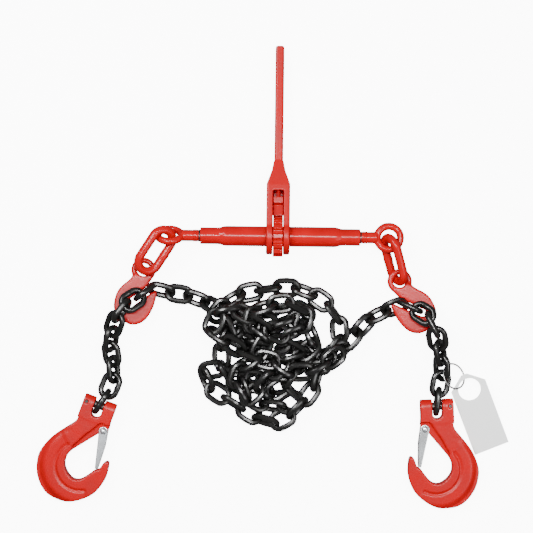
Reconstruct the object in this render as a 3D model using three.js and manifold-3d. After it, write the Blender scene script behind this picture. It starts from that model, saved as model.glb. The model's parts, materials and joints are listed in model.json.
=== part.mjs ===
// Ratchet load binder with a 10 mm chain: a turnbuckle barrel turned by a lever, a grab hook on
// each end, one chain held by both grab hooks and a clevis sling hook on each chain leg.
// Millimetres. The binder lies on a table at z = 0: X along the barrel, Y along the lever.
import * as THREE from 'three';
import { mergeVertices } from 'three/addons/utils/BufferGeometryUtils.js';
import Module from 'manifold-3d';

const wasm = await Module();
wasm.setup();

// ---- driving dimensions ------------------------------------------------------------------
const gap = 0.3;                      // between pieces that touch
const facets = 24;                    // sides of a round piece
const through = 60;                   // how far a cutting tool reaches past the metal, each way

const chain = { wire: 10, pitch: 30, width: 37, slack: 3.8, sides: 8, crownSteps: 7 };

const barrel = {
  length: 263, radius: 16.5, neckRadius: 13.8, neckLength: 31, taper: 11,
  shift: 3.9,                         // its middle stands this far to the right of the wheel
  axisHeight: 33.8,                   // barrel axis above the table: the ratchet wheel touches it
};
const screw = {
  radius: 9.5, pitch: 4, inBarrel: 112, boreClearance: 0.5,
  shank: 21, exposed: { left: 18.4, right: 15.1 },        // plain shank, and the screw that shows
  eyeWire: 12.5, eyeOuter: 51, stopRadius: 8.6, stopLength: 3,
};
const eyeTurn = { left: 57, right: 0 };               // degrees about the barrel axis

const wheel = {
  teeth: 12, radius: 33.5, rootRadius: 28.5, width: 16, side: 0.7,
  root: 0.3, crest: 0.22,             // half widths of a tooth, as shares of the tooth pitch
};
const fork = {
  arm: 10.8, depth: 38, bevel: 2.5, headRadius: 30, barrelClearance: 0.6,
  windowTop: 75, cheekTop: 84, shoulder: 108, shoulderWidth: 22.4, top: 124,
  web: 2.2, webStart: 38,             // the thin plate that closes the underside of the window
};
const handle = { width: 14.5, depth: 24, length: 316, tipDepth: 20, bevel: 3 };
const pawl = {
  pivot: 50, pinRadius: 4, hub: 8, tipRadius: 34.6, spread: 9.5, tip: 3,
  lugTop: 19, lugUnder: 14, lugHeight: 59, lugHalf: 5, notch: 3,
};
const plunger = { radius: 3.6, length: 16, nose: 3, boreDepth: 26, springWire: 1.2, springTurns: 5 };

const binderLink = { wire: 14.5, length: 91, width: 51, sides: 10, crownSteps: 8 };
const grab = { ringOuter: 42, ringWire: 10.5, thickness: 16, bevel: 2, slot: 12, slotLength: 47 };
const sling = {
  thickness: 24, bevel: 1, height: 19.2, earRadius: 12.2, pinRadius: 6.5, recess: 4, slot: 16,
  slotDepth: 12.5, pinPlay: 0.09, earReach: [-28, 27.4], keeperAt: 21.5, keeperRadius: 2.5, rivetRadius: 4.2,
  dip: THREE.MathUtils.degToRad(2.3),
};
const latch = { sheet: 2, pivot: [-21.7, -36.6], tip: [-32.5, -99.2], hub: 7.5, nose: 2.5 };
const tag = {
  below: 108, above: 26.5, width: 60, shoulder: 6, top: 5, thickness: 1.6, hole: 18.8,
  ringRadius: 21.2, ringWire: 3,
};
// the ring goes through the right leg's fifth link
const ringRest = { at: [293.7, -226.8, 21.6], tilt: 37.9, bearing: 30.3 };
const tagRest = { at: [320, -248.2, 19.3], angle: 22, dip: 9.7 };

const heap = { height: 58, lift: 0.4, bevel: 14 };
const strandRadius = 11.84;           // half of what the links of a strand take up

// ---- hand-chosen routes and placings, from the middle of the barrel ----------------------
const benchHalf = 131.5;              // half length of barrel at which the arms below were laid out
const bench = {
  left: {
    sign: -1,
    link: { at: [-200.8, -25.6, 41.6], angle: 57.3, tilt: 1.3, roll: 31 },
    grab: { at: [-221.4, -57.7, 14.5], angle: 0, flipped: false },
    throat: [[-207, -86, 18], [-227, -101, 31]],
    legCount: 8, legTwist: 0, legSwell: 34,
    leg: [[-227, -101, 31], [-248, -115, 40], [-263, -136, 42], [-271, -160, 35], [-274, -184, 26],
      [-270, -208, 21], [-268, -234, 19.5], [-277, -259, 19.2], [-291, -282, 19.2], [-306, -304, 19.2]],
    strand: [[-188, -92, 15], [-168, -96, 15], [-148, -99, 15], [-131, -104, 15]],
    hookLean: -20, flipped: true,
  },
  right: {
    sign: 1,
    link: { at: [192.05, -35.9, 28.4], angle: 106.2, tilt: 12.8, roll: -62.7 },
    grab: { at: [202.25, -71.15, 20.85], angle: 13, flipped: true },
    throat: [[208, -108, 23], [230, -117.5, 36]],
    legCount: 7, legTwist: 90, legSwell: 0,
    leg: [[230, -117.5, 36], [250.5, -131, 48.5], [262, -156, 49.5], [267, -179, 37], [273, -202, 27],
      [274, -226, 21.5], [269.5, -251, 19.6], [266, -279, 19.2], [264.5, -300, 19.2]],
    strand: [[172, -122, 15], [154, -134, 15], [138, -150, 15], [124, -170, 15]],
    hookLean: 3, flipped: false,
  },
};
const heapOutline = [[-118, -78], [-40, -82], [20, -84], [78, -98], [106, -150], [100, -196], [70, -250],
  [30, -300], [-12, -328], [-60, -312], [-104, -268], [-116, -220], [-104, -160]];

// ---- materials -----------------------------------------------------------------------------
const paint = new THREE.MeshStandardMaterial({ color: 0xe6302a, roughness: 0.35, metalness: 0.1 });
const castPaint = new THREE.MeshStandardMaterial({ color: 0xe63a32, roughness: 0.5, metalness: 0.1 });
const black = new THREE.MeshStandardMaterial({ color: 0x2a2a28, roughness: 0.4, metalness: 0.6 });
const steel = new THREE.MeshStandardMaterial({ color: 0x8b8d90, roughness: 0.4, metalness: 0.9 });
const zinc = new THREE.MeshStandardMaterial({ color: 0xd6dbe0, roughness: 0.3, metalness: 0.8 });
const plate = new THREE.MeshStandardMaterial({ color: 0xe4e8e6, roughness: 0.5, metalness: 0.3 });

// ---- helpers -------------------------------------------------------------------------------
const rad = THREE.MathUtils.degToRad;
const vec = (x, y, z = 0) => new THREE.Vector3(x, y, z);

function toSolid(geometry) {
  const bare = geometry.index ? geometry.toNonIndexed() : geometry.clone();
  bare.deleteAttribute('normal');
  bare.deleteAttribute('uv');
  const merged = mergeVertices(bare, 1e-4);
  const corners = merged.index.array;
  const kept = [];
  for (let i = 0; i < corners.length; i += 3) {
    const [a, b, c] = corners.slice(i, i + 3);
    if (a !== b && b !== c && c !== a) kept.push(a, b, c);
  }
  return new wasm.Manifold(new wasm.Mesh({
    numProp: 3,
    vertProperties: new Float32Array(merged.attributes.position.array),
    triVerts: new Uint32Array(kept),
  }));
}

function toGeometry(solid) {
  const out = solid.getMesh();
  const geometry = new THREE.BufferGeometry();
  geometry.setAttribute('position', new THREE.BufferAttribute(out.vertProperties, 3));
  geometry.setIndex(new THREE.BufferAttribute(out.triVerts, 1));
  geometry.computeVertexNormals();
  return geometry;
}

function joined(...geometries) {
  return toGeometry(geometries.map(toSolid).reduce((a, b) => a.add(b)));
}

function cut(geometry, ...tools) {
  return toGeometry(tools.map(toSolid).reduce((a, b) => a.subtract(b), toSolid(geometry)));
}

function named(name, geometry, material) {
  const mesh = new THREE.Mesh(geometry, material);
  mesh.name = name;
  return mesh;
}

// a cylinder along X from x0 to x1
function barX(radius, x0, x1, sides = facets) {
  return new THREE.CylinderGeometry(radius, radius, x1 - x0, sides)
    .rotateZ(-Math.PI / 2).translate((x0 + x1) / 2, 0, 0);
}

// a cylinder along Z about z = 0
function standing(radius, height, sides) {
  return new THREE.CylinderGeometry(radius, radius, height, sides).rotateX(Math.PI / 2);
}

// a solid of revolution about X, its profile given as [x, radius]
function turnedX(profile, sides = facets) {
  const points = profile.map(([x, r]) => new THREE.Vector2(r, x));
  return new THREE.LatheGeometry(points, sides).rotateZ(-Math.PI / 2);
}

// an outline in XY, extruded to a thickness about z = 0 with rounded edges
function slab(shape, thickness, bevel = 0, curveSegments = 10) {
  return new THREE.ExtrudeGeometry(shape, {
    depth: thickness - 2 * bevel, steps: 1, curveSegments,
    bevelEnabled: bevel > 0, bevelThickness: bevel, bevelSize: bevel, bevelOffset: -bevel, bevelSegments: 2,
  }).translate(0, 0, -(thickness / 2 - bevel));
}

function boxBetween(x0, x1, y0, y1, z0, z1) {
  return new THREE.BoxGeometry(x1 - x0, y1 - y0, z1 - z0)
    .translate((x0 + x1) / 2, (y0 + y1) / 2, (z0 + z1) / 2);
}

// a round-ended link in XY with its length along X: a ring whose two halves are drawn apart
function roundLink({ wire, length, width, sides, crownSteps }) {
  const steps = 2 * (crownSteps + 1);
  const ring = new THREE.TorusGeometry(2, 1, sides, steps);
  const { position, uv } = ring.attributes;
  const crown = (width - wire) / 2;
  const half = (length - width) / 2;
  for (let i = 0; i < position.count; i += 1) {
    const along = Math.round(uv.getX(i) * steps) % steps;
    const end = along <= crownSteps ? 1 : -1;
    const step = end > 0 ? along : along - crownSteps - 1;
    const turn = -Math.PI / 2 + Math.PI * (step / crownSteps) + (end > 0 ? 0 : Math.PI);
    const about = uv.getY(i) * 2 * Math.PI;
    const out = crown + (wire / 2) * Math.cos(about);
    const up = (wire / 2) * Math.sin(about);
    position.setXYZ(i, end * half + out * Math.cos(turn), out * Math.sin(turn), up);
  }
  return ring;
}

// a round bar along a list of points
function cord(points, radius, sides = 10, steps = 12) {
  const section = new THREE.Shape();
  section.absarc(0, 0, radius, 0, 2 * Math.PI);
  const path = new THREE.CatmullRomCurve3(points.map((p) => vec(...p)), false, 'centripetal');
  const settings = { steps, curveSegments: sides / 2, extrudePath: path, bevelEnabled: false };
  return new THREE.ExtrudeGeometry(section, settings);
}

// stands a piece whose length is along X on the line from a to b, rolled about that line;
// at roll 0 its own Y is level
function aim(mesh, a, b, roll) {
  const along = b.clone().sub(a).normalize();
  const level = vec(0, 0, 1).cross(along).normalize();
  const up = along.clone().cross(level);
  const y = level.clone().multiplyScalar(Math.cos(rad(roll))).addScaledVector(up, Math.sin(rad(roll)));
  const z = along.clone().cross(y);
  mesh.quaternion.setFromRotationMatrix(new THREE.Matrix4().makeBasis(along, y, z));
  mesh.position.copy(a).add(b).multiplyScalar(0.5);
  return mesh;
}

// points on a smooth route, each the next straight-line distance from the one before
function paces(route, distances) {
  const curve = new THREE.CatmullRomCurve3(route.map((p) => vec(...p)), false, 'centripetal');
  const out = [];
  for (const p of curve.getPoints(2000)) {
    if (!out.length || p.distanceTo(out[out.length - 1]) >= distances[out.length - 1]) out.push(p);
  }
  return out;
}

// ---- the barrel and its ratchet wheel, on the X axis ----------------------------------------
const wheelHalf = wheel.width / 2;
const barrelHalf = barrel.length / 2;

function makeBarrel() {
  const neck = barrelHalf - barrel.neckLength;
  const body = turnedX([
    [-barrelHalf, 0], [-barrelHalf, barrel.neckRadius], [-neck, barrel.neckRadius],
    [-neck + barrel.taper, barrel.radius], [neck - barrel.taper, barrel.radius],
    [neck, barrel.neckRadius], [barrelHalf, barrel.neckRadius], [barrelHalf, 0],
  ]);
  const bore = barX(screw.radius + screw.boreClearance, -barrelHalf - 1, barrelHalf + 1);
  return named('barrel', cut(body, bore).translate(barrel.shift, 0, 0), paint);
}

function makeWheel() {
  const shape = new THREE.Shape();
  const pitch = (2 * Math.PI) / wheel.teeth;
  const corners = [[-wheel.root, wheel.rootRadius], [-wheel.crest, wheel.radius],
    [wheel.crest, wheel.radius], [wheel.root, wheel.rootRadius]];
  for (let tooth = 0; tooth < wheel.teeth; tooth += 1) {
    corners.forEach(([share, r], n) => {
      const a = (tooth + share) * pitch;
      if (tooth + n === 0) shape.moveTo(r * Math.cos(a), r * Math.sin(a));
      else shape.lineTo(r * Math.cos(a), r * Math.sin(a));
    });
  }
  const hole = new THREE.Path();
  hole.absarc(0, 0, barrel.radius + gap, 0, 2 * Math.PI, true);
  shape.holes.push(hole);
  const disc = slab(shape, wheel.width, 0, facets).rotateX(-Math.PI / 2).rotateZ(Math.PI / 2);
  return named('ratchet_wheel', disc, paint);
}

// ---- the lever: fork, window, handle, pawl and detent, in the lever's own frame: Y outward ----
const forkInside = wheelHalf + wheel.side;
const forkOutside = forkInside + fork.arm;

function makeLever() {
  const side = new THREE.Shape();
  const neckHalf = fork.depth / 2;
  side.moveTo(-neckHalf, fork.headRadius * 0.7);
  side.absarc(0, 0, fork.headRadius, Math.PI * 0.82, Math.PI * 2.18, false);
  side.lineTo(neckHalf, fork.cheekTop);
  side.lineTo(handle.depth / 2, fork.top);
  side.lineTo(-handle.depth / 2, fork.top);
  side.lineTo(-neckHalf, fork.cheekTop);
  // the side view is drawn in (z, y) and extruded along X
  const head = slab(side, 2 * forkOutside, fork.bevel, 14).rotateY(-Math.PI / 2);
  // the plan keeps the head full width, then draws it in to the handle
  const half = [[forkOutside + 1, -through], [forkOutside + 0.5, fork.cheekTop],
    [fork.shoulderWidth / 2, fork.shoulder], [handle.width / 2, fork.top + 4]];
  const wedge = new THREE.Shape([...half, ...half.map(([x, y]) => [-x, y]).reverse()]
    .map((p) => new THREE.Vector2(...p)));
  const plan = slab(wedge, 2 * through);
  const trimmed = toSolid(head).intersect(toSolid(plan));
  const grip = new THREE.Shape();
  grip.moveTo(-handle.depth / 2, fork.cheekTop);
  grip.lineTo(-handle.tipDepth / 2, handle.length);
  grip.lineTo(handle.tipDepth / 2, handle.length);
  grip.lineTo(handle.depth / 2, fork.cheekTop);
  const shank = slab(grip, handle.width, handle.bevel).rotateY(-Math.PI / 2);
  const mouth = boxBetween(-forkInside, forkInside, -through, fork.webStart, -through, through);
  const window = boxBetween(-forkInside, forkInside, fork.webStart - 1, fork.windowTop,
    fork.web - fork.depth / 2, through);
  const bore = barX(barrel.radius + fork.barrelClearance, -through, through, 32);
  const pinHole = barX(pawl.pinRadius + gap, -through, through, 16).translate(0, pawl.pivot, 0);
  const plungerHole = new THREE.CylinderGeometry(plunger.radius + gap, plunger.radius + gap,
    plunger.boreDepth + 4, 16).translate(0, fork.windowTop + plunger.boreDepth / 2 - 2, 0);
  const whole = toGeometry(trimmed.add(toSolid(shank)));
  return named('lever', cut(whole, mouth, window, bore, pinHole, plungerHole), castPaint);
}

function makePawl() {
  const tipY = pawl.tipRadius * Math.cos(Math.asin(pawl.spread / pawl.tipRadius));
  const [low, high] = [pawl.lugHeight - pawl.lugHalf, pawl.lugHeight + pawl.lugHalf];
  const waist = pawl.hub + 3;
  const shape = new THREE.Shape([
    [-pawl.spread - pawl.tip, tipY], [-pawl.spread + pawl.tip, tipY + 0.6],
    [0, pawl.pivot - pawl.hub + 1],
    [pawl.spread - pawl.tip, tipY + 0.6], [pawl.spread + pawl.tip, tipY],
    [waist, pawl.pivot + 1], [pawl.lugTop, low], [pawl.lugTop, high], [waist, high],
    [pawl.lugHalf, pawl.lugHeight + 2], [0, pawl.lugHeight + 2 - pawl.notch],
    [-pawl.lugHalf, pawl.lugHeight + 2],
    [2 - waist, high], [-pawl.lugUnder, high], [-pawl.lugUnder, low], [-waist, pawl.pivot + 1],
  ].map((p) => new THREE.Vector2(...p)));
  const hole = new THREE.Path();
  hole.absarc(0, pawl.pivot, pawl.pinRadius + gap, 0, 2 * Math.PI, true);
  shape.holes.push(hole);
  return named('pawl', slab(shape, 2 * (forkInside - 2 * gap), 0, 16).rotateY(-Math.PI / 2), paint);
}

const pawlPin = () => named('pawl_pin',
  barX(pawl.pinRadius, -forkOutside + 0.5, forkOutside - 0.5, 16).translate(0, pawl.pivot, 0), steel);

// the nose stands this far clear of the pawl's notch
const plungerNose = pawl.lugHeight + 2 - pawl.notch + 1.2;

function makePlunger() {
  const points = [[0, 0], [1.6, 0.6], [plunger.radius, plunger.nose], [plunger.radius, plunger.length],
    [0, plunger.length]].map(([r, y]) => new THREE.Vector2(r, y));
  return named('detent_plunger', new THREE.LatheGeometry(points, 12).translate(0, plungerNose, 0), paint);
}

function makeDetentSpring() {
  const bottom = plungerNose + plunger.length + gap + plunger.springWire / 2;
  const top = fork.windowTop + plunger.boreDepth - gap - plunger.springWire / 2;
  const coil = [];
  const perTurn = 8;
  const r = plunger.radius - plunger.springWire / 2 - 0.2;
  for (let i = 0; i <= plunger.springTurns * perTurn; i += 1) {
    const a = (2 * Math.PI * i) / perTurn;
    const rise = ((top - bottom) * i) / (plunger.springTurns * perTurn);
    coil.push([r * Math.cos(a), bottom + rise, r * Math.sin(a)]);
  }
  return named('detent_spring', cord(coil, plunger.springWire / 2, 5, plunger.springTurns * 12), steel);
}

// ---- one end screw with its eye, pointing along +X from the barrel's middle -------------------
const eyeReach = screw.shank + (screw.eyeOuter - screw.eyeWire) / 2 - 8;
const screwInner = barrelHalf - screw.inBarrel;

function makeScrew(side) {
  const barrelEnd = barrelHalf + bench[side].sign * barrel.shift;
  const eyeCentre = barrelEnd + screw.exposed[side] + eyeReach;
  const rod = barX(screw.radius, screwInner + screw.stopLength + gap, eyeCentre - screw.eyeOuter / 2 + 6);
  const ring = new THREE.TorusGeometry((screw.eyeOuter - screw.eyeWire) / 2, screw.eyeWire / 2, 12, facets)
    .translate(eyeCentre, 0, 0);
  const mesh = named(`eye_screw_${side}`, joined(rod, ring), paint);
  const stop = barX(screw.stopRadius, screwInner, screwInner + screw.stopLength);
  return [mesh, named(`thread_stop_${side}`, stop, steel)];
}

// ---- eye grab hook, flat in XY, eye at the origin, seen with its throat to the right -----------
function makeGrabHook(side) {
  const r = grab.ringOuter / 2;
  const shape = new THREE.Shape();
  shape.moveTo(-r + 3, -10);
  shape.splineThru([[-24, -17], [-34, -25], [-43.5, -37], [-48.5, -56], [-46.5, -70], [-38, -81],
    [-19, -91.5], [2, -85], [16.5, -63], [23, -38]].map((p) => new THREE.Vector2(...p)));
  shape.lineTo(20, -34);
  const slotEnd = new THREE.Vector2(-26.5, -59.5);
  const slotTurn = rad(36.5);
  const across = new THREE.Vector2(-Math.sin(slotTurn), Math.cos(slotTurn)).multiplyScalar(grab.slot / 2);
  shape.lineTo(slotEnd.x - across.x + grab.slotLength * Math.cos(slotTurn),
    slotEnd.y - across.y + grab.slotLength * Math.sin(slotTurn));
  shape.lineTo(slotEnd.x - across.x, slotEnd.y - across.y);
  shape.absarc(slotEnd.x, slotEnd.y, grab.slot / 2, slotTurn - Math.PI / 2, slotTurn + Math.PI / 2, true);
  shape.lineTo(6, -27.5);
  shape.lineTo(r - 5, -12);
  shape.lineTo(0, 4);
  const blade = slab(shape, grab.thickness, grab.bevel, 2);
  const ring = new THREE.TorusGeometry((grab.ringOuter - grab.ringWire) / 2, grab.ringWire / 2, 10, facets);
  const hole = standing(r - grab.ringWire, through, facets);
  return named(`grab_hook_${side}`, joined(cut(blade, hole), ring), paint);
}

// the flats of a link's inner crown stand this far inside its true round
const crownFlat = (chain.width / 2 - chain.wire) * (1 - Math.cos(Math.PI / (2 * chain.crownSteps)));
// from the middle of the last link to the load pin, and from the pin up to the link before
const pinReach = chain.pitch / 2 - crownFlat - sling.pinPlay - sling.pinRadius;
const earTop = pinReach + chain.pitch / 2 - chain.wire - 3 * gap;

// ---- clevis sling hook, flat in XY, load pin through the origin along X, opening to the left ---
function makeSlingHook(side) {
  const v2 = (points) => points.map((p) => new THREE.Vector2(...p));
  const shape = new THREE.Shape();
  shape.moveTo(-27, -14);
  shape.lineTo(-29.5, -30);
  shape.lineTo(-17, -42);
  shape.lineTo(15, -83);
  shape.splineThru(v2([[20.8, -96], [19, -111], [10, -122], [-2, -128.3], [-14, -125], [-24, -112.8]]));
  shape.lineTo(-30.5, -103);
  shape.lineTo(-37.1, -98.4);
  shape.lineTo(-39.5, -88.7);
  shape.splineThru(v2([[-42, -84], [-46, -81.5], [-49.3, -84], [-51.2, -92.6]]));
  shape.splineThru(v2([[-52.5, -108], [-49.4, -124.3], [-42, -141], [-26, -157], [-7, -168],
    [10, -170], [29, -167.5],
    [45, -157], [58.5, -139], [65, -118], [65, -103], [59.5, -85], [50, -67.5], [28.5, -39.5]]));
  shape.lineTo(25.5, -31);
  shape.lineTo(27, -14);
  const body = slab(shape, sling.thickness, sling.bevel, 2);
  const ears = barX(sling.earRadius, ...sling.earReach);
  const neck = boxBetween(...sling.earReach, -28, 0, -sling.earRadius, sling.earRadius);
  const slot = joined(
    boxBetween(-sling.slot / 2, sling.slot / 2, -sling.slotDepth, 30, -30, 30),
    standing(sling.slot / 2, through, 16).translate(0, -sling.slotDepth, 0),
  );
  const pinBore = barX(sling.pinRadius + gap, -through, through, 20);
  const keeperBore = standing(sling.keeperRadius + gap, through, 12).translate(sling.keeperAt, 0, 0);
  const [px, py] = latch.pivot;
  const lug = standing(latch.hub + 0.5, sling.thickness - 2 * sling.recess, 20).translate(px, py, 0);
  const rivetBore = standing(sling.rivetRadius + gap, through, 16).translate(px, py, 0);
  // a recess on each face, where the cheeks of the latch swing
  const swing = new THREE.Shape(v2([[-44, -25], [-13, -25.5], [-8, -33], [6, -55.5], [17.5, -78],
    [16, -86], [-28, -86], [-40, -60]]));
  const recessFloor = sling.thickness / 2 - sling.recess;
  const reliefs = [-1, 1].map((s) => slab(swing, 20).translate(0, 0, s * (recessFloor + 10)));
  const whole = joined(body, ears, neck, lug);
  const above = boxBetween(-through, through, earTop, through, -through, through);
  const hook = cut(whole, above, slot, pinBore, keeperBore, rivetBore, ...reliefs);
  return named(`sling_hook_${side}`, hook, castPaint);
}

function makeLatch(side) {
  const [px, py] = latch.pivot;
  const [tx, ty] = latch.tip;
  const length = Math.hypot(tx - px, ty - py);
  const lean = Math.atan2(ty - py, tx - px);
  const cheekIn = sling.thickness / 2 - sling.recess + gap;
  const cheekOut = cheekIn + latch.sheet;
  // drawn with the pivot at the origin and the tip along +X, the outer web on +Y, then turned
  const shape = new THREE.Shape();
  shape.absarc(0, 0, latch.hub, Math.PI / 2, Math.PI * 1.5, false);
  shape.lineTo(length, -latch.nose);
  shape.lineTo(length, latch.nose);
  shape.lineTo(length * 0.4, latch.hub);
  const hole = new THREE.Path();
  hole.absarc(0, 0, sling.rivetRadius + gap, 0, 2 * Math.PI, true);
  shape.holes.push(hole);
  const cheek = (z) => slab(shape, latch.sheet, 0, 8).translate(0, 0, z);
  const web = new THREE.Shape();
  web.moveTo(10, latch.hub);
  web.lineTo(length * 0.4, latch.hub);
  web.lineTo(length, latch.nose);
  web.lineTo(length, latch.nose - latch.sheet);
  web.lineTo(length * 0.4, latch.hub - latch.sheet);
  web.lineTo(10, latch.hub - latch.sheet);
  const middle = (cheekIn + cheekOut) / 2;
  const whole = joined(cheek(middle), cheek(-middle), slab(web, 2 * cheekIn + latch.sheet));
  return named(`latch_${side}`, whole.rotateX(Math.PI), zinc);
}

// ---- assembly -------------------------------------------------------------------------------
const model = new THREE.Group();
const binder = new THREE.Group();
binder.position.z = barrel.axisHeight;
model.add(binder);
binder.add(makeBarrel(), makeWheel());

const lever = new THREE.Group();
const tipDrop = barrel.axisHeight - handle.tipDepth / 2 - 0.4;
lever.rotation.x = -Math.asin(tipDrop / handle.length);
lever.add(makeLever(), makePawl(), pawlPin(), makePlunger(), makeDetentSpring());
binder.add(lever);

const chainLink = () => roundLink({ ...chain, length: chain.pitch + 2 * chain.wire });

const arms = {};
for (const [side, place] of Object.entries(bench)) {
  // everything past the eye moves out with the barrel's end
  const arm = new THREE.Group();
  arm.position.x = place.sign * (barrelHalf - benchHalf);
  model.add(arm);
  arms[side] = arm;

  // end screw, turned about the barrel axis
  const end = new THREE.Group();
  end.rotation.order = 'ZXY';
  end.rotation.z = place.sign > 0 ? 0 : Math.PI;
  end.rotation.x = rad(eyeTurn[side]);
  end.add(...makeScrew(side));
  binder.add(end);

  // binder link, from the eye down to the grab hook's eye
  const link = named(`binder_link_${side}`, roundLink(binderLink), paint);
  const { at, angle, tilt, roll } = place.link;
  const reach = vec(Math.cos(rad(angle)) * Math.cos(rad(tilt)), Math.sin(rad(angle)) * Math.cos(rad(tilt)),
    Math.sin(rad(tilt)));
  arm.add(aim(link, vec(...at).sub(reach), vec(...at).add(reach), roll));

  // grab hook
  const hook = makeGrabHook(side);
  hook.position.set(...place.grab.at);
  hook.rotation.set(0, place.grab.flipped ? Math.PI : 0, rad(place.grab.angle), 'ZYX');
  arm.add(hook);

  // leg: links on a hand-chosen route, alternately turned a quarter
  const legPoints = paces(place.leg, Array.from({ length: place.legCount },
    (_, n) => chain.pitch - (n < place.legCount - 2 ? chain.slack : 2 * gap)));
  for (let n = 0; n < place.legCount; n += 1) {
    const share = n / (place.legCount - 1);
    const turn = 90 * n + place.legTwist * share ** 1.5 + place.legSwell * Math.sin(Math.PI * share);
    const one = named(`leg_link_${side}_${n + 1}`, chainLink(), black);
    arm.add(aim(one, legPoints[n], legPoints[n + 1], turn));
  }

  // throat link, standing in the grab hook's slot between the leg and the strand
  const throat = named(`throat_link_${side}`, chainLink(), black);
  arm.add(aim(throat, ...place.throat.map((p) => vec(...p)), 90));

  // strand from the throat to the heap
  model.add(named(`chain_strand_${side}`, cord(place.strand, strandRadius, 10, 8), black));

  // sling hook on the last link
  const last = legPoints[place.legCount];
  const before = legPoints[place.legCount - 1];
  const pinAt = last.clone().add(before).multiplyScalar(0.5).addScaledVector(
    last.clone().sub(before).normalize(), pinReach);
  const group = new THREE.Group();
  group.position.set(pinAt.x, pinAt.y, sling.height);
  const dip = place.flipped ? -sling.dip : sling.dip;
  group.rotation.set(dip, place.flipped ? Math.PI : 0, rad(place.hookLean), 'ZYX');
  arm.add(group);
  group.add(makeSlingHook(side));
  const [pinFrom, pinTo] = sling.earReach;
  const keeperBore = standing(sling.keeperRadius + gap, through, 12).translate(sling.keeperAt, 0, 0);
  const keeper = standing(sling.keeperRadius, sling.thickness, 12).translate(sling.keeperAt, 0, 0);
  const pin = cut(barX(sling.pinRadius, pinFrom + 1, pinTo - 1, 20), keeperBore);
  group.add(named(`load_pin_${side}`, pin, steel));
  group.add(named(`pin_keeper_${side}`, keeper, steel));
  const flap = makeLatch(side);
  flap.position.set(...latch.pivot, 0);
  flap.rotation.z = Math.atan2(latch.tip[1] - latch.pivot[1], latch.tip[0] - latch.pivot[0]);
  group.add(flap);
  const rivet = standing(sling.rivetRadius, sling.thickness + 2, 16).translate(...latch.pivot, 0);
  group.add(named(`latch_rivet_${side}`, rivet, steel));
}

// tag and its ring, threaded through a link of the right leg
const ring = named('tag_ring', new THREE.TorusGeometry(tag.ringRadius, tag.ringWire / 2, 8, 40), steel);
const ringNormal = vec(Math.sin(rad(ringRest.tilt)) * Math.cos(rad(ringRest.bearing)),
  Math.sin(rad(ringRest.tilt)) * Math.sin(rad(ringRest.bearing)), Math.cos(rad(ringRest.tilt)));
ring.quaternion.setFromUnitVectors(vec(0, 0, 1), ringNormal);
ring.position.set(...ringRest.at);
arms.right.add(ring);

const card = new THREE.Shape([[-tag.width / 2, -tag.below], [tag.width / 2, -tag.below],
  [tag.width / 2, tag.shoulder], [tag.top, tag.above], [-tag.top, tag.above], [-tag.width / 2, tag.shoulder]]
  .map((p) => new THREE.Vector2(...p)));
const cardHole = new THREE.Path();
cardHole.absarc(0, 0, tag.hole, 0, 2 * Math.PI, true);
card.holes.push(cardHole);
const tagMesh = named('tag', slab(card, tag.thickness, 0, 16), plate);
tagMesh.position.set(...tagRest.at);
tagMesh.rotation.set(rad(tagRest.dip), 0, rad(tagRest.angle), 'ZYX');
arms.right.add(tagMesh);

// heap of chain in the middle
const outline = new THREE.Shape();
outline.moveTo(...heapOutline[0]);
outline.splineThru([...heapOutline.slice(1), heapOutline[0]].map((p) => new THREE.Vector2(...p)));
const pile = slab(outline, heap.height, heap.bevel, 3).translate(0, 0, heap.height / 2 + heap.lift);
model.add(named('chain_heap', pile, black));

// the origin is the middle of the underside, measured without the chain drawn as plain tubes
const loose = ['chain_heap', 'chain_strand_left', 'chain_strand_right'];
const extent = new THREE.Box3();
model.updateMatrixWorld(true);
model.traverse((node) => {
  if (node.isMesh && !loose.includes(node.name)) extent.expandByObject(node, true);
});
const middle = extent.getCenter(vec(0, 0));
model.position.set(-middle.x, -middle.y, -extent.min.z);

export default model;
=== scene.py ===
# Load binder chain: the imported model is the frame, this script makes the looks around it.
import json
import math
import bmesh
import bpy
from mathutils import Matrix, Vector


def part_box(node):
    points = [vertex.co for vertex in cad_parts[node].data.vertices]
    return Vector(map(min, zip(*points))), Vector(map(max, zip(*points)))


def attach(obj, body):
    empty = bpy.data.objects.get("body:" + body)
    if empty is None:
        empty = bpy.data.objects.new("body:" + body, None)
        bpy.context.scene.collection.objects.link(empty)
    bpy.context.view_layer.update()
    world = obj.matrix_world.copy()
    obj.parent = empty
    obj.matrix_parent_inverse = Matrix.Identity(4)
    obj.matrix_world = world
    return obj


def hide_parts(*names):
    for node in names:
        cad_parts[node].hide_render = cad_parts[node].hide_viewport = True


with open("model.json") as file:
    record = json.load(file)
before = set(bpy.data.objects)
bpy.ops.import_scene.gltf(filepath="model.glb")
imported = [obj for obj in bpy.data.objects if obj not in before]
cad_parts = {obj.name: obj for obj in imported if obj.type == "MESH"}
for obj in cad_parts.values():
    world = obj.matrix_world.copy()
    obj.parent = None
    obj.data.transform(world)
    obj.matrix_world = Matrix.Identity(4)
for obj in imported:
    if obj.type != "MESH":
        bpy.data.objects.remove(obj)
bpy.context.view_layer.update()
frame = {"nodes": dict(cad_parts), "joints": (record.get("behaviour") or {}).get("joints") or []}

mm = 0.001
nodes = frame["nodes"]
joints = {j["name"]: j for j in frame["joints"]}


def middleOf(name):
    low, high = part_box(name)
    return (Vector(low) + Vector(high)) / 2


barrelMiddle = middleOf("ratchet_wheel")
tableHeight = barrelMiddle.z - 33.8 * mm      # the barrel's axis stands this far above the table


def bench(x, y, z):      # a point given in mm from the middle of the barrel, z from the table
    return Vector((barrelMiddle.x + x * mm, barrelMiddle.y + y * mm, tableHeight + z * mm))


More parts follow.
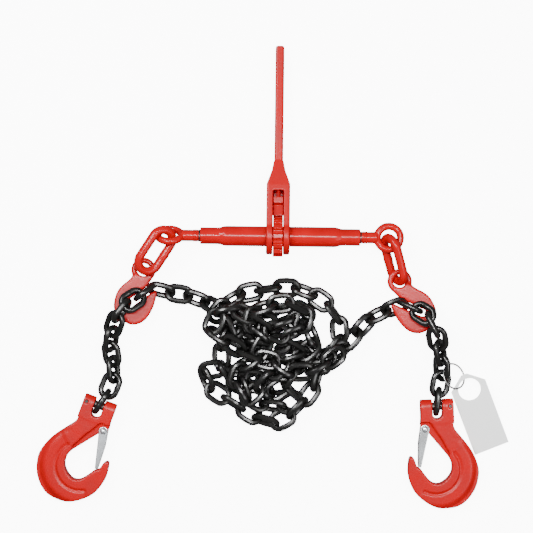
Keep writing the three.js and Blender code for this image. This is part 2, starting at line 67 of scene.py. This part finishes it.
# ---- camera
camera = {"aim": (-18.0, -49.6, 25.0), "frameWidth": 0.8795, "distance": 3.6, "turn": 0.72, "sensor": 36.0}
lens = bpy.data.cameras.new("camera")
lens.sensor_width = camera["sensor"]
lens.lens = camera["sensor"] * camera["distance"] / camera["frameWidth"]
lens.clip_end = 30
eye = bpy.data.objects.new("camera", lens)
bpy.context.scene.collection.objects.link(eye)
eye.location = bench(*camera["aim"]) + Vector((0, 0, camera["distance"]))
eye.rotation_euler = (0, 0, math.radians(camera["turn"]))
bpy.context.scene.camera = eye
print("camera placed")


# ---- shader groups
def newGroup(name, inputs, outputs):
    tree = bpy.data.node_groups.new(name, "ShaderNodeTree")
    for label, kind, value in inputs:
        socket = tree.interface.new_socket(label, in_out="INPUT", socket_type=kind)
        socket.default_value = value
    for label, kind in outputs:
        tree.interface.new_socket(label, in_out="OUTPUT", socket_type=kind)
    return tree, tree.nodes.new("NodeGroupInput"), tree.nodes.new("NodeGroupOutput")


def addNoise(tree, vector, scale, detail):
    noise = tree.nodes.new("ShaderNodeTexNoise")
    noise.inputs["Detail"].default_value = detail
    if isinstance(scale, float):
        noise.inputs["Scale"].default_value = scale
    else:
        tree.links.new(scale, noise.inputs["Scale"])
    tree.links.new(vector, noise.inputs["Vector"])
    return noise.outputs["Fac"]


def addRange(tree, value, low, high, toLow, toHigh):
    ramp = tree.nodes.new("ShaderNodeMapRange")
    for socket, number in zip(("From Min", "From Max", "To Min", "To Max"), (low, high, toLow, toHigh)):
        if isinstance(number, (int, float)):
            ramp.inputs[socket].default_value = number
        else:
            tree.links.new(number, ramp.inputs[socket])
    tree.links.new(value, ramp.inputs["Value"])
    return ramp.outputs["Result"]


# grain: fine and coarse noise as one height, and slow patches as a mask
grainGroup, groupIn, groupOut = newGroup(
    "finishGrain",
    [("Fine", "NodeSocketFloat", 900.0), ("Coarse", "NodeSocketFloat", 120.0), ("Share", "NodeSocketFloat", 0.5)],
    [("Height", "NodeSocketFloat"), ("Patches", "NodeSocketFloat")])
place = grainGroup.nodes.new("ShaderNodeTexCoord")
fine = addNoise(grainGroup, place.outputs["Object"], groupIn.outputs["Fine"], 3)
coarse = addNoise(grainGroup, place.outputs["Object"], groupIn.outputs["Coarse"], 4)
blendIn = grainGroup.nodes.new("ShaderNodeMix")
grainGroup.links.new(groupIn.outputs["Share"], blendIn.inputs["Factor"])
grainGroup.links.new(fine, blendIn.inputs["A"])
grainGroup.links.new(coarse, blendIn.inputs["B"])
grainGroup.links.new(blendIn.outputs["Result"], groupOut.inputs["Height"])
patches = addNoise(grainGroup, place.outputs["Object"], 28.0, 5)
grainGroup.links.new(patches, groupOut.inputs["Patches"])

# worn edges: pointiness of the mesh, broken up by noise
edgeGroup, edgeIn, edgeOut = newGroup(
    "edgeWear", [("Start", "NodeSocketFloat", 0.53), ("End", "NodeSocketFloat", 0.62)],
    [("Mask", "NodeSocketFloat")])
shape = edgeGroup.nodes.new("ShaderNodeNewGeometry")
place = edgeGroup.nodes.new("ShaderNodeTexCoord")
breakUp = addNoise(edgeGroup, place.outputs["Object"], 260.0, 4)
sharp = addRange(edgeGroup, shape.outputs["Pointiness"], edgeIn.outputs["Start"], edgeIn.outputs["End"], 0, 1)
broken = addRange(edgeGroup, breakUp, 0.45, 0.6, 0, 1)
times = edgeGroup.nodes.new("ShaderNodeMath")
times.operation = "MULTIPLY"
edgeGroup.links.new(sharp, times.inputs[0])
edgeGroup.links.new(broken, times.inputs[1])
edgeGroup.links.new(times.outputs[0], edgeOut.inputs["Mask"])


def finish(name, color, second, rough, metallic, fine, coarse, share, bump, coat=0.0, specular=0.5,
           worn=None):
    material = bpy.data.materials.new(name)
    material.use_nodes = True
    tree = material.node_tree
    shader = tree.nodes["Principled BSDF"]
    shader.inputs["Metallic"].default_value = metallic
    shader.inputs["Coat Weight"].default_value = coat
    shader.inputs["Specular IOR Level"].default_value = specular
    shader.inputs["Coat Roughness"].default_value = 0.12
    grain = tree.nodes.new("ShaderNodeGroup")
    grain.node_tree = grainGroup
    for label, value in (("Fine", fine), ("Coarse", coarse), ("Share", share)):
        grain.inputs[label].default_value = value
    tint = tree.nodes.new("ShaderNodeMix")
    tint.data_type = "RGBA"
    tint.inputs[6].default_value = (*color, 1)
    tint.inputs[7].default_value = (*second, 1)
    tree.links.new(addRange(tree, grain.outputs["Patches"], 0.35, 0.7, 0, 1), tint.inputs[0])
    shown = tint.outputs[2]
    if worn:
        edge = tree.nodes.new("ShaderNodeGroup")
        edge.node_tree = edgeGroup
        over = tree.nodes.new("ShaderNodeMix")
        over.data_type = "RGBA"
        over.inputs[7].default_value = (*worn, 1)
        tree.links.new(edge.outputs["Mask"], over.inputs[0])
        tree.links.new(shown, over.inputs[6])
        shown = over.outputs[2]
    tree.links.new(shown, shader.inputs["Base Color"])
    tree.links.new(addRange(tree, grain.outputs["Patches"], 0.3, 0.7, rough * 0.8, rough * 1.25),
                   shader.inputs["Roughness"])
    relief = tree.nodes.new("ShaderNodeBump")
    relief.inputs["Strength"].default_value = 1.0
    relief.inputs["Distance"].default_value = bump
    tree.links.new(grain.outputs["Height"], relief.inputs["Height"])
    tree.links.new(relief.outputs["Normal"], shader.inputs["Normal"])
    return material


redPaint = finish("redPaint", (0.44, 0.0, 0.003), (0.35, 0.0, 0.0015), 0.2, 0.0, 500.0, 60.0, 0.6,
                  0.00006, specular=0.22)
redCast = finish("redCast", (0.44, 0.0, 0.003), (0.35, 0.0, 0.0015), 0.3, 0.0, 650.0, 260.0, 0.5,
                 0.00025, specular=0.22)
blackLacquer = finish("blackLacquer", (0.0030, 0.0030, 0.0028), (0.0060, 0.0056, 0.0052), 0.24, 0.0, 600.0,
                      150.0, 0.6, 0.00005, specular=0.6)
brightSteel = finish("brightSteel", (0.42, 0.42, 0.43), (0.30, 0.29, 0.28), 0.32, 1.0, 1500.0, 200.0, 0.4, 0.00008)
oiledSteel = finish("oiledSteel", (0.10, 0.095, 0.09), (0.05, 0.045, 0.04), 0.4, 0.9, 900.0, 200.0, 0.5, 0.0002)
zincPlate = finish("zincPlate", (0.66, 0.68, 0.70), (0.52, 0.55, 0.58), 0.28, 0.9, 900.0, 90.0, 0.5, 0.0001)
tagMetal = finish("tagMetal", (0.97, 0.98, 0.97), (0.94, 0.96, 0.96), 0.45, 0.0, 1200.0, 40.0, 0.3, 0.00003)
tagInk = finish("tagInk", (0.10, 0.10, 0.11), (0.16, 0.16, 0.17), 0.6, 0.0, 900.0, 90.0, 0.5, 0.00002)
print("finishes made")


# ---- making pieces
def shadeSmooth(mesh, angle=35):
    for face in mesh.polygons:
        face.use_smooth = True
    mesh.set_sharp_from_angle(angle=math.radians(angle))


def finishPiece(bm, name, material, body, slot, *replaced, angle=35):
    bmesh.ops.recalc_face_normals(bm, faces=bm.faces)
    mesh = bpy.data.meshes.new(name)
    bm.to_mesh(mesh)
    bm.free()
    return meshPiece(mesh, name, material, body, slot, *replaced, angle=angle)


def meshPiece(mesh, name, material, body, slot, *replaced, angle=35):
    shadeSmooth(mesh, angle)
    mesh.materials.clear()
    mesh.materials.append(material)
    piece = bpy.data.objects.new(name, mesh)
    bpy.context.scene.collection.objects.link(piece)
    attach(piece, body)
    if replaced:
        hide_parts(*replaced)
    return piece


# a solid of revolution about X from a closed or open outline of (x, radius) in mm
def turned(bm, outline, matrix, steps=56, closed=False):
    verts = [bm.verts.new((x * mm, 0, r * mm)) for x, r in outline]
    pairs = list(zip(verts, verts[1:])) + ([(verts[-1], verts[0])] if closed else [])
    edges = [bm.edges.new(pair) for pair in pairs]
    out = bmesh.ops.spin(bm, geom=verts + edges, cent=(0, 0, 0), axis=(1, 0, 0), angle=2 * math.pi,
                         steps=steps, use_merge=True)
    made = [v for v in bm.verts if v.is_valid and v.tag is False]
    bmesh.ops.remove_doubles(bm, verts=made, dist=0.001 * mm)
    made = [v for v in bm.verts if v.tag is False]
    bmesh.ops.transform(bm, matrix=matrix, verts=made)
    for v in bm.verts:
        v.tag = True
    return out


# a link: a ring spun from a round section, whose two halves are drawn apart along X
def addLink(bm, link, matrix, swell=0.0):
    crown = (link["width"] - link["wire"]) / 2 * mm
    half = (link["length"] - link["width"]) / 2 * mm
    steps = link["sections"]
    start = math.pi / steps
    toCrown = Matrix.Rotation(start, 4, "Z") @ Matrix.Translation((crown, 0, 0)) @ Matrix.Rotation(math.pi / 2, 4, "X")
    ring = bmesh.ops.create_circle(bm, segments=link["sides"], radius=link["wire"] / 2 * mm, matrix=toCrown)["verts"]
    edges = list({e for v in ring for e in v.link_edges})
    bmesh.ops.spin(bm, geom=ring + edges, cent=(0, 0, 0), axis=(0, 0, 1), angle=2 * math.pi, steps=steps,
                   use_merge=True)
    made = [v for v in bm.verts if not v.tag]
    bmesh.ops.remove_doubles(bm, verts=made, dist=0.001 * mm)
    made = [v for v in bm.verts if not v.tag]
    for v in made:
        if abs(v.co.x) > 1e-6:
            v.co.x += math.copysign(half, v.co.x)
    if swell:                                    # the butt weld stands proud in the middle of one leg
        leg = [v for v in made if v.co.y > 0 and abs(v.co.x) < half + 0.2 * crown]
        edges = list({e for v in leg for e in v.link_edges if all(w in leg for w in e.verts)
                      and abs(e.verts[0].co.x - e.verts[1].co.x) > half})
        bmesh.ops.subdivide_edges(bm, edges=edges, cuts=7)
        middle = Vector((0, crown, 0))
        for v in [v for v in bm.verts if not v.tag and v.co.y > 0 and abs(v.co.x) < 3.2 * mm]:
            v.co = Vector((v.co.x, *(middle.yz + (v.co.yz - middle.yz) * (1 + swell))))
    made = [v for v in bm.verts if not v.tag]
    bmesh.ops.transform(bm, matrix=matrix, verts=made)
    for v in bm.verts:
        v.tag = True


# where a CAD link lies: its length along X, its width along Y
def linkPlace(name):
    points = [v.co.copy() for v in nodes[name].data.vertices]
    middle = middleOf(name)
    centre = sum(points, Vector()) / len(points)
    far = max(points, key=lambda p: (p - centre).length)
    along = (far - centre).normalized()
    for _ in range(12):                           # turns towards the direction in which it is longest
        pull = Vector()
        for p in points:
            pull += (p - centre) * (p - centre).dot(along)
        along = pull.normalized()
    across = along.orthogonal().normalized()
    for _ in range(60):
        pull = Vector()
        for p in points:
            flat = (p - centre) - along * (p - centre).dot(along)
            pull += flat * flat.dot(across)
        across = pull.normalized()
    up = along.cross(across)
    ends = []
    for axis in (along, across, up):
        reach = [(p - centre).dot(axis) for p in points]
        ends.append((max(reach) + min(reach)) / 2)
    middle = centre + along * ends[0] + across * ends[1] + up * ends[2]
    turn = Matrix((along, across, up)).transposed().to_4x4()
    return Matrix.Translation(middle) @ turn


def ease(value, low, high):
    t = min(max((value - low) / (high - low), 0), 1)
    return t * t * (3 - 2 * t)


# a forged or cast piece: the CAD solid is rebuilt as an even skin and its edges are rounded off
def forged(name, node, material, body, slot, voxel, rounds, relief=None):
    bm = bmesh.new()
    bm.from_mesh(nodes[node].data)
    bmesh.ops.remove_doubles(bm, verts=bm.verts, dist=0.01 * mm)
    mesh = bpy.data.meshes.new(name + "_core")
    bm.to_mesh(mesh)
    bm.free()
    core = bpy.data.objects.new(name + "_core", mesh)
    bpy.context.scene.collection.objects.link(core)
    skin = core.modifiers.new("skin", "REMESH")
    skin.mode = "VOXEL"
    skin.voxel_size = voxel * mm
    soft = core.modifiers.new("soft", "SMOOTH")
    soft.factor = 0.5
    soft.iterations = rounds
    bpy.context.view_layer.update()
    ready = core.evaluated_get(bpy.context.evaluated_depsgraph_get())
    made = bpy.data.meshes.new_from_object(ready)
    made.name = name
    bpy.data.objects.remove(core)
    if relief:
        for v in made.vertices:
            v.co = relief(v.co)
    return meshPiece(made, name, material, body, slot, node, angle=60)


# ---- chain
chainLink = {"wire": 10.0, "length": 50.0, "width": 37.0, "sections": 24, "sides": 14}
smallLink = {"wire": 10.0, "length": 50.0, "width": 37.0, "sections": 18, "sides": 10}
legLinks = {"left": 8, "right": 7}
for side, count in legLinks.items():
    for n in range(1, count + 1):
        node = f"leg_link_{side}_{n}"
        bm = bmesh.new()
        addLink(bm, chainLink, linkPlace(node), swell=0.05)
        finishPiece(bm, node + "_skin", blackLacquer, node, "chain", node)
    node = f"throat_link_{side}"
    bm = bmesh.new()
    addLink(bm, chainLink, linkPlace(node), swell=0.05)
    finishPiece(bm, node + "_skin", blackLacquer, f"grab_hook_{side}", "chain", node)
print("leg links made")

pitch = 30.0 * mm
runs = {
    "heap": {
        "body": "chain_heap", "node": "chain_heap", "diameter": 0.037, "first": 20, "swing": 12,
        "points": [
            (-104, -136, 18.7), (-84, -111, 18.7), (-55, -94, 18.7), (-20, -88, 18.7), (18, -83, 18.7),
            (53, -92, 18.7), (84, -112, 18.7), (103, -138, 18.7), (105, -168, 18.7), (89, -193, 18.7),
            (72, -216, 18.7), (66, -242, 18.7), (50, -267, 18.7), (29, -291, 18.7), (1, -308, 18.7),
            (-29, -301, 18.7), (-57, -284, 18.7), (-85, -267, 18.7), (-110, -250, 18.7),
            (-121, -225, 18.7), (-103, -215, 18.7), (-76, -224, 18.7), (-50, -216, 18.7),
            (-20, -214, 18.7), (10, -215, 18.7), (39, -213, 18.7), (62, -196, 18.7), (52, -180, 18.7),
            (22, -184, 18.7), (-7, -186, 18.7), (-37, -184, 18.7), (-67, -188, 18.7), (-83, -168, 18.7),
            (-60, -155, 18.7), (-31, -155, 18.7), (-1, -152, 18.7), (29, -155, 18.7), (52, -147, 18.7),
            (51, -124, 18.7), (22, -116, 18.7), (-8, -120, 18.7), (-38, -123, 18.7), (-64, -135, 18.7),
            (-80, -157, 25), (-91, -185, 26), (-89, -215, 25), (-71, -242, 21), (-43, -249, 19),
            (-13, -247, 19), (17, -245, 19), (40, -256, 20), (24, -278, 21), (-6, -281, 21),
            (-33, -270, 26), (-58, -252, 31), (-50, -227, 31), (-23, -237, 31), (-6, -263, 31),
            (12, -250, 31), (26, -226, 31), (46, -206, 31), (36, -182, 31), (7, -174, 31),
            (-20, -181, 31), (-49, -175, 31), (-74, -163, 31), (-84, -137, 31), (-59, -120, 31),
            (-31, -135, 31), (-8, -146, 31), (19, -134, 31), (43, -140, 32), (62, -162, 34),
            (59, -188, 36), (34, -198, 38), (8, -207, 40), (-10, -230, 42), (-33, -254, 42),
            (-54, -270, 42), (-66, -247, 42), (-60, -219, 42), (-38, -202, 42), (-17, -184, 42),
            (-24, -159, 42), (-49, -148, 42), (-41, -125, 42), (-15, -115, 42), (10, -104, 41),
            (31, -116, 41), (53, -127, 41), (42, -150, 42), (19, -165, 42), (-4, -156, 42),
            (-31, -141, 43), (-56, -125, 42), (-81, -120, 41), (-104, -136, 41), (-107, -160, 41),
            (-83, -173, 42), (-60, -188, 43), (-35, -199, 43), (-14, -200, 43), (10, -212, 43),
            (33, -226, 42), (62, -219, 39), (87, -204, 34), (110, -186, 27)]},
    "strand_left": {
        "body": "strand_left", "node": "chain_strand_left", "diameter": 0.028, "first": 52, "swing": 8,
        "points": [(-206, -87, 20), (-190, -92, 15.5), (-168, -96, 15.5), (-148, -99, 15.5), (-131, -104, 16), (-112, -112, 17),
                   (-90, -124, 18), (-66, -134, 18), (-40, -142, 18), (-12, -147, 18)]},
    "strand_right": {
        "body": "strand_right", "node": "chain_strand_right", "diameter": 0.028, "first": -40, "swing": 8,
        "points": [(208, -108.5, 23), (190, -117, 17), (172, -124, 15.5), (154, -134, 15.5), (138, -150, 15.5), (124, -170, 16), (104, -186, 17),
                   (78, -196, 18), (52, -202, 18), (26, -207, 18), (0, -210, 18)]},
}


def smoothRoute(points, spacing):
    corners = [bench(*p) for p in points]
    fineLine = []
    for i in range(len(corners) - 1):
        before = corners[max(i - 1, 0)]
        a, b = corners[i], corners[i + 1]
        after = corners[min(i + 2, len(corners) - 1)]
        for s in range(40):
            t = s / 40
            fineLine.append(0.5 * (2 * a + (b - before) * t + (2 * before - 5 * a + 4 * b - after) * t * t
                                   + (3 * a - before - 3 * b + after) * t ** 3))
    fineLine.append(corners[-1])
    out = [fineLine[0]]
    for p in fineLine:
        if (p - out[-1]).length >= spacing:
            out.append(p)
    return out


for name, run in runs.items():
    stops = smoothRoute(run["points"], pitch)
    bm = bmesh.new()
    for n, (a, b) in enumerate(zip(stops, stops[1:])):
        along = (b - a).normalized()
        level = Vector((0, 0, 1)).cross(along).normalized()
        roll = math.radians(run["first"] + 90 * (n % 2) + run["swing"] * math.sin(1.7 * n))
        across = level * math.cos(roll) + along.cross(level) * math.sin(roll)
        turn = Matrix((along, across, along.cross(across))).transposed().to_4x4()
        addLink(bm, smallLink, Matrix.Translation((a + b) / 2) @ turn)
    piece = finishPiece(bm, name + "_links", blackLacquer, run["body"], "chain", run["node"])
    length = sum((b - a).length for a, b in zip(stops, stops[1:]))
    print(name, "links", len(stops) - 1, "length", round(length, 3))
print("chain made")

# ---- barrel and screws
barrelShape = {"half": 131.5, "radius": 16.5, "neck": 13.8, "neckLength": 31.0, "taper": 11.0, "bore": 10.0,
               "shift": 3.9}
half, neck = barrelShape["half"], barrelShape["neck"]
neckEnd = half - barrelShape["neckLength"]
shoulder = neckEnd - barrelShape["taper"]
outline = [(-half, 10.4), (-half + 0.6, barrelShape["bore"])]
outline += [(half - 0.6, barrelShape["bore"]), (half, 10.4), (half, neck - 0.8), (half - 1, neck)]
outline += [(neckEnd + 1.5, neck), (neckEnd - 2, neck + 0.5), (shoulder + 3, barrelShape["radius"] - 0.4),
            (shoulder - 1, barrelShape["radius"])]
outline += [(-x, r) for x, r in reversed(outline[4:])]
bm = bmesh.new()
turned(bm, outline, Matrix.Translation(barrelMiddle + Vector((barrelShape["shift"] * mm, 0, 0))), closed=True)
finishPiece(bm, "barrel_skin", redPaint, "barrel", "paint", "barrel")

screwShape = {"pitch": 2.5, "start": 23.0, "bare": 4.0, "painted": 9.0, "root": 9.6, "crest": 10.1}


def threadOutline(x, end):
    outline = [(x, 9.0)]
    root, crest = screwShape["root"], screwShape["crest"]
    while x + screwShape["pitch"] <= end + 0.01:
        outline += [(x + 0.2, root), (x + 0.9, root), (x + 1.3, crest), (x + 1.9, crest), (x + 2.3, root)]
        x += screwShape["pitch"]
    return outline + [(x, 9.0)]


for side, sign in (("left", -1), ("right", 1)):
    place = Matrix.Translation(barrelMiddle) @ Matrix.Rotation(0 if sign > 0 else math.pi, 4, "Z")
    bareEnd = half + sign * barrelShape["shift"] + screwShape["bare"]
    paintEnd = bareEnd + screwShape["painted"]
    for name, material, slot, x, end in (("screw_thread", oiledSteel, "steel", screwShape["start"], bareEnd),
                                         ("painted_thread", redPaint, "paint", bareEnd, paintEnd)):
        bm = bmesh.new()
        turned(bm, threadOutline(x, end), place, steps=40)
        finishPiece(bm, f"{name}_{side}", material, f"eye_screw_{side}", slot, angle=25)
    forged(f"eye_screw_{side}_skin", f"eye_screw_{side}", redPaint, f"eye_screw_{side}", "paint", 0.9, 9)
print("barrel and screws made")

# ---- ratchet, lever, pawl
forged("ratchet_wheel_skin", "ratchet_wheel", redPaint, "barrel", "paint", 0.7, 2)
forged("lever_skin", "lever", redCast, "lever", "cast_paint", 1.0, 8)
forged("pawl_skin", "pawl", redPaint, "pawl", "paint", 0.6, 2)

# ---- binder links
binderLink = {"wire": 14.5, "length": 91.0, "width": 51.0, "sections": 40, "sides": 24}
for side in ("left", "right"):
    bm = bmesh.new()
    addLink(bm, binderLink, linkPlace(f"binder_link_{side}"), swell=0.07)
    finishPiece(bm, f"binder_link_{side}_skin", redPaint, f"binder_link_{side}", "paint", f"binder_link_{side}")
print("binder made")

# ---- hooks
hookShape = {"bowl": (-6.0, -104.0), "lip": 37.0, "groove": 41.0, "pad": 46.0, "rim": 54.0, "edge": 69.0,
             "sink": 0.19, "padSink": 0.07, "rimSink": 0.5, "padAngles": (-118.0, 38.0)}


# the forging's section: a raised lip round the bowl, a groove, a pad along the back and a rounded rim
def slingRelief(place):
    back = place.inverted()
    fade = 8.0

    def relief(co):
        p = back @ co
        x, y = p.x / mm - hookShape["bowl"][0], p.y / mm - hookShape["bowl"][1]
        away, angle = math.hypot(x, y), math.degrees(math.atan2(y, x))
        low, high = hookShape["padAngles"]
        along = ease(angle, low - fade, low) * (1 - ease(angle, high, high + fade))
        sink = hookShape["sink"] * ease(away, hookShape["lip"], hookShape["groove"]) * along
        sink -= (hookShape["sink"] - hookShape["padSink"]) * ease(away, hookShape["groove"], hookShape["pad"]) * along
        bowl = 1 - ease(y, 30, 55)
        sink += hookShape["rimSink"] * ease(away, hookShape["rim"], hookShape["edge"]) ** 2 * bowl
        p.z *= 1 - sink
        return place @ p

    return relief


def hookPlace(side):      # the load pin's middle, X along the pin, Y up the hook
    hinge, face = joints[f"sling_hook_{side}_swing"], joints[f"latch_{side}_swing"]
    across = Vector(hinge["axis"]).normalized()
    out = Vector(face["axis"]).normalized()
    if (Vector(face["pos_m"]) - Vector(hinge["pos_m"])).dot(across) > 0:
        across = -across
    up = out.cross(across).normalized()
    if (Vector(face["pos_m"]) - Vector(hinge["pos_m"])).dot(up) > 0:
        up = -up
    turn = Matrix((across, up, across.cross(up))).transposed().to_4x4()
    return Matrix.Translation(hinge["pos_m"]) @ turn


for side in ("left", "right"):
    forged(f"grab_hook_{side}_skin", f"grab_hook_{side}", redCast, f"grab_hook_{side}", "paint", 1.0, 34)
    forged(f"sling_hook_{side}_skin", f"sling_hook_{side}", redCast, f"sling_hook_{side}", "cast_paint", 1.0, 14,
           slingRelief(hookPlace(side)))
    forged(f"latch_{side}_skin", f"latch_{side}", zincPlate, f"latch_{side}", "zinc", 0.55, 4)
    hinge = joints[f"latch_{side}_swing"]
    axis = Vector(hinge["axis"]).normalized()
    place = Matrix.Translation(hinge["pos_m"]) @ Vector((1, 0, 0)).rotation_difference(axis).to_matrix().to_4x4()
    outline = [(-13.6, 0.0), (-13.4, 2.2), (-12.7, 4.0), (-11.6, 5.2), (-10.9, 5.4), (-10.8, 4.2), (10.8, 4.2),
               (10.9, 5.4), (11.6, 5.2), (12.7, 4.0), (13.4, 2.2), (13.6, 0.0)]
    bm = bmesh.new()
    turned(bm, outline, place, steps=32)
    finishPiece(bm, f"latch_rivet_{side}_skin", zincPlate, f"sling_hook_{side}", "steel", f"latch_rivet_{side}")
print("hooks made")

# ---- tag
hang = joints["tag_ring_turn"]
ringShape = {"radius": 21.2, "wire": 1.45}
place = (Matrix.Translation(hang["pos_m"])
         @ Vector((0, 0, 1)).rotation_difference(Vector(hang["axis"])).to_matrix().to_4x4())
bm = bmesh.new()
bmesh.ops.create_circle(bm, segments=14, radius=ringShape["wire"] * mm, matrix=Matrix.Translation(
    (ringShape["radius"] * mm, 0, 0)) @ Matrix.Rotation(math.pi / 2, 4, "X"))
bmesh.ops.spin(bm, geom=bm.verts[:] + bm.edges[:], cent=(0, 0, 0), axis=(0, 0, 1), angle=2 * math.pi, steps=72,
               use_merge=True)
bmesh.ops.transform(bm, matrix=place, verts=bm.verts)
finishPiece(bm, "tag_ring_skin", brightSteel, "tag_ring", "steel", "tag_ring")

# plain dashes in rows, where the tag is printed
tagPrint = {"rows": (-25, -32, -39, -49, -57, -65, -73, -81, -89, -97), "height": 1.7, "half": 25.0,
            "raised": 0.12, "dash": 4.5, "vary": 2.5, "space": 2.2, "below": 108}
wide = Vector(joints["tag_swing"]["axis"]).normalized()
corners = [v.co.copy() for v in nodes["tag"].data.vertices]
face = max((p.normal.copy() for p in nodes["tag"].data.polygons), key=lambda n: n.z)
down = wide.cross(face).normalized()
if down.y > 0:
    down = -down
acrossReach = [p.dot(wide) for p in corners]
corner = (wide * (max(acrossReach) + min(acrossReach)) / 2 + face * max(p.dot(face) for p in corners)
          + down * (max(p.dot(down) for p in corners) - tagPrint["below"] * mm))
turn = Matrix((wide, -down, face)).transposed().to_4x4()
bm = bmesh.new()
for row, y in enumerate(tagPrint["rows"]):
    x = -tagPrint["half"]
    while x < tagPrint["half"] - tagPrint["dash"]:
        length = tagPrint["dash"] + tagPrint["vary"] * math.sin(7.3 * row + 1.9 * x)
        size = (length * mm, tagPrint["height"] * mm, tagPrint["raised"] * mm, 1)
        at = Matrix.Translation(corner - down * y * mm + wide * (x + length / 2) * mm)
        bmesh.ops.create_cube(bm, size=1, matrix=at @ turn @ Matrix.Diagonal(size))
        x += length + tagPrint["space"]
finishPiece(bm, "tag_lines", tagInk, "tag", "tag")
print("tag made")

plain = {"tag": tagMetal, "tag_ring": brightSteel, "detent_plunger": redPaint, "detent_spring": brightSteel}
for name, node in nodes.items():
    material = plain.get(name)
    if not material and name.startswith(("load_pin", "pin_keeper", "pawl_pin", "thread_stop")):
        material = oiledSteel
    if material:
        node.data.materials.clear()
        node.data.materials.append(material)

# ---- floor and light
bm = bmesh.new()
bmesh.ops.create_grid(bm, x_segments=1, y_segments=1, size=4.0,
                      matrix=Matrix.Translation((0, 0, tableHeight - 0.0006)))
mesh = bpy.data.meshes.new("floor")
bm.to_mesh(mesh)
bm.free()
floorPaper = bpy.data.materials.new("floorPaper")
floorPaper.use_nodes = True
floorPaper.node_tree.nodes["Principled BSDF"].inputs["Base Color"].default_value = (0.9, 0.9, 0.9, 1)
floorPaper.node_tree.nodes["Principled BSDF"].inputs["Roughness"].default_value = 0.8
floorPaper.node_tree.nodes["Principled BSDF"].inputs["Emission Color"].default_value = (1, 1, 1, 1)
floorPaper.node_tree.nodes["Principled BSDF"].inputs["Emission Strength"].default_value = 9.0
mesh.materials.append(floorPaper)
floor = bpy.data.objects.new("floor", mesh)
bpy.context.scene.collection.objects.link(floor)
floor.visible_diffuse = False
floor.visible_glossy = False

lamps = {
    "strip": {"at": (0.0, 0.22, 2.3), "size": (1.9, 0.10), "power": 85},
    "side": {"at": (-1.2, 0.9, 1.9), "size": (0.9, 0.5), "power": 40},
    "fill": {"at": (1.3, -0.6, 1.7), "size": (1.2, 0.9), "power": 16},
}
for name, lamp in lamps.items():
    light = bpy.data.lights.new(name, "AREA")
    light.shape = "RECTANGLE"
    light.size, light.size_y = lamp["size"]
    light.energy = lamp["power"]
    holder = bpy.data.objects.new(name, light)
    bpy.context.scene.collection.objects.link(holder)
    holder.location = lamp["at"]
    holder.rotation_euler = (-Vector(lamp["at"])).to_track_quat("-Z", "Y").to_euler()
world = bpy.data.worlds.new("world")
world.use_nodes = True
world.node_tree.nodes["Background"].inputs["Color"].default_value = (1, 1, 1, 1)
world.node_tree.nodes["Background"].inputs["Strength"].default_value = 0.26
bpy.context.scene.world = world
print("floor and light made")
